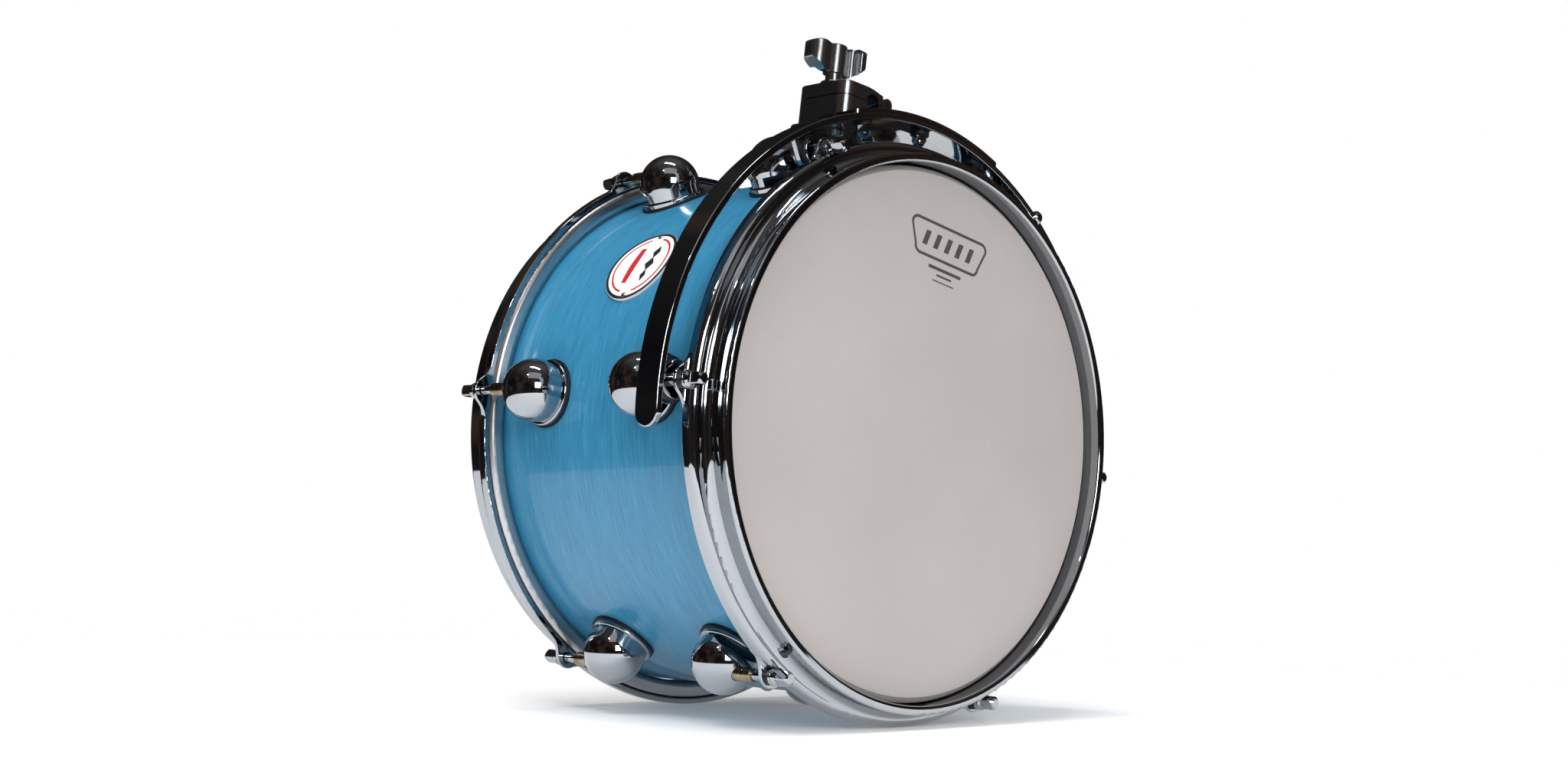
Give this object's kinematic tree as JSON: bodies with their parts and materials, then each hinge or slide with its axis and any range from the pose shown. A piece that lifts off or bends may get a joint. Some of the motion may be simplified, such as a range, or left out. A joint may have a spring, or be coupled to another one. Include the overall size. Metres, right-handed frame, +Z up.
{
  "type": "rack tom drum",
  "caption": "Cylindrical rack tom with two heads, eared hoops, tension rods and lugs, and a suspension band that carries a hinged clamp for a tom arm.",
  "frame": {"origin": "on the floor, below the middle of the drum as it lies on its side", "axes": "+Y along the drum's axis from the batter head to the resonant head, +Z up, +X to the right of the batter head"},
  "size_m": [0.3668, 0.2226, 0.4075],
  "materials": {
    "blue_lacquer": "satin to gloss lacquer with fine streaks of grain that run round the shell",
    "coated_film": "rough sprayed coating on clear film",
    "clear_film": "clear polished film",
    "aluminium": "mill finish",
    "black_rubber": "matt",
    "brass": "plain turned",
    "zinc_steel": "zinc plated",
    "dark_nylon": "plain",
    "badge_enamel": "gloss enamel with a black border and a red ring",
    "chrome": "polished plate"
  },
  "bodies": {
    "drum": {"badge": "badge_enamel", "badge_pins": "chrome", "band_grommets": "black_rubber", "batter_flesh_hoop": "aluminium", "batter_head": "coated_film", "batter_hoop": "chrome", "batter_lug_1": "chrome", "batter_lug_2": "chrome", "batter_lug_3": "chrome", "batter_lug_4": "chrome", "batter_lug_5": "chrome", "batter_lug_6": "chrome", "clamp_base": "chrome", "clamp_hinge_pin": "chrome", "clamp_pad": "black_rubber", "clamp_screws": "zinc_steel", "clamp_stud": "chrome", "grommet_sleeves": "chrome", "grommet_washers": "chrome", "lug_gaskets": "black_rubber", "lug_screw_washers": "zinc_steel", "lug_screws": "zinc_steel", "mount_plate": "chrome", "plate_bushings": "black_rubber", "plate_cap_nuts": "chrome", "plate_screws": "chrome", "resonant_flesh_hoop": "aluminium", "resonant_head": "clear_film", "resonant_hoop": "chrome", "resonant_lug_1": "chrome", "resonant_lug_2": "chrome", "resonant_lug_3": "chrome", "resonant_lug_4": "chrome", "resonant_lug_5": "chrome", "resonant_lug_6": "chrome", "rod_nylon_washers": "dark_nylon", "rod_steel_washers": "chrome", "shell": "blue_lacquer", "suspension_band": "chrome", "swivel_nuts": "brass"},
    "batter_rod_1": {"batter_rod_1": "chrome"},
    "batter_rod_2": {"batter_rod_2": "chrome"},
    "batter_rod_3": {"batter_rod_3": "chrome"},
    "batter_rod_4": {"batter_rod_4": "chrome"},
    "batter_rod_5": {"batter_rod_5": "chrome"},
    "batter_rod_6": {"batter_rod_6": "chrome"},
    "resonant_rod_1": {"resonant_rod_1": "chrome"},
    "resonant_rod_2": {"resonant_rod_2": "chrome"},
    "resonant_rod_3": {"resonant_rod_3": "chrome"},
    "resonant_rod_4": {"resonant_rod_4": "chrome"},
    "resonant_rod_5": {"resonant_rod_5": "chrome"},
    "resonant_rod_6": {"resonant_rod_6": "chrome"},
    "clamp_lid": {"clamp_cap": "chrome"},
    "washer": {"clamp_washer": "chrome"},
    "wing_nut": {"wing_nut": "chrome"}
  },
  "joints": [
    {"name": "batter_rod_1_turn", "type": "hinge", "parent": "drum", "child": "batter_rod_1", "pos_m": [0.09929, -0.075, 0.30132], "axis": [0, 1, 0], "continuous": true},
    {"name": "batter_rod_2_turn", "type": "hinge", "parent": "drum", "child": "batter_rod_2", "pos_m": [0.16701, -0.075, 0.14757], "axis": [0, 1, 0], "continuous": true},
    {"name": "batter_rod_3_turn", "type": "hinge", "parent": "drum", "child": "batter_rod_3", "pos_m": [0.06771, -0.075, 0.01205], "axis": [0, 1, 0], "continuous": true},
    {"name": "batter_rod_4_turn", "type": "hinge", "parent": "drum", "child": "batter_rod_4", "pos_m": [-0.09929, -0.075, 0.03028], "axis": [0, 1, 0], "continuous": true},
    {"name": "batter_rod_5_turn", "type": "hinge", "parent": "drum", "child": "batter_rod_5", "pos_m": [-0.16701, -0.075, 0.18403], "axis": [0, 1, 0], "continuous": true},
    {"name": "batter_rod_6_turn", "type": "hinge", "parent": "drum", "child": "batter_rod_6", "pos_m": [-0.06771, -0.075, 0.31955], "axis": [0, 1, 0], "continuous": true},
    {"name": "resonant_rod_1_turn", "type": "hinge", "parent": "drum", "child": "resonant_rod_1", "pos_m": [0.09929, 0.075, 0.30132], "axis": [0, 1, 0], "continuous": true},
    {"name": "resonant_rod_2_turn", "type": "hinge", "parent": "drum", "child": "resonant_rod_2", "pos_m": [0.16701, 0.075, 0.14757], "axis": [0, 1, 0], "continuous": true},
    {"name": "resonant_rod_3_turn", "type": "hinge", "parent": "drum", "child": "resonant_rod_3", "pos_m": [0.06771, 0.075, 0.01205], "axis": [0, 1, 0], "continuous": true},
    {"name": "resonant_rod_4_turn", "type": "hinge", "parent": "drum", "child": "resonant_rod_4", "pos_m": [-0.09929, 0.075, 0.03028], "axis": [0, 1, 0], "continuous": true},
    {"name": "resonant_rod_5_turn", "type": "hinge", "parent": "drum", "child": "resonant_rod_5", "pos_m": [-0.16701, 0.075, 0.18403], "axis": [0, 1, 0], "continuous": true},
    {"name": "resonant_rod_6_turn", "type": "hinge", "parent": "drum", "child": "resonant_rod_6", "pos_m": [-0.06771, 0.075, 0.31955], "axis": [0, 1, 0], "continuous": true},
    {"name": "wing_nut_turn", "type": "hinge", "parent": "washer", "child": "wing_nut", "pos_m": [0.014, -0.01, 0.38155], "axis": [0.1085, 0, 0.9941], "range_deg": [0, 1710]},
    {"name": "clamp_washer_slide", "type": "slide", "parent": "drum", "child": "washer", "axis": [0.1085, 0, 0.9941], "range_m": [0, 0.006]},
    {"name": "clamp_cap_lift", "type": "hinge", "parent": "drum", "child": "clamp_lid", "pos_m": [0.0419, -0.01, 0.36996], "axis": [0, 1, 0], "range_deg": [0, 8.6]}
  ],
  "couplings": [
    {"joint": "clamp_washer_slide", "follows": "wing_nut_turn", "m_per_rad": 0.00019894},
    {"joint": "clamp_cap_lift", "follows": "wing_nut_turn", "ratio": 0.0049708}
  ]
}
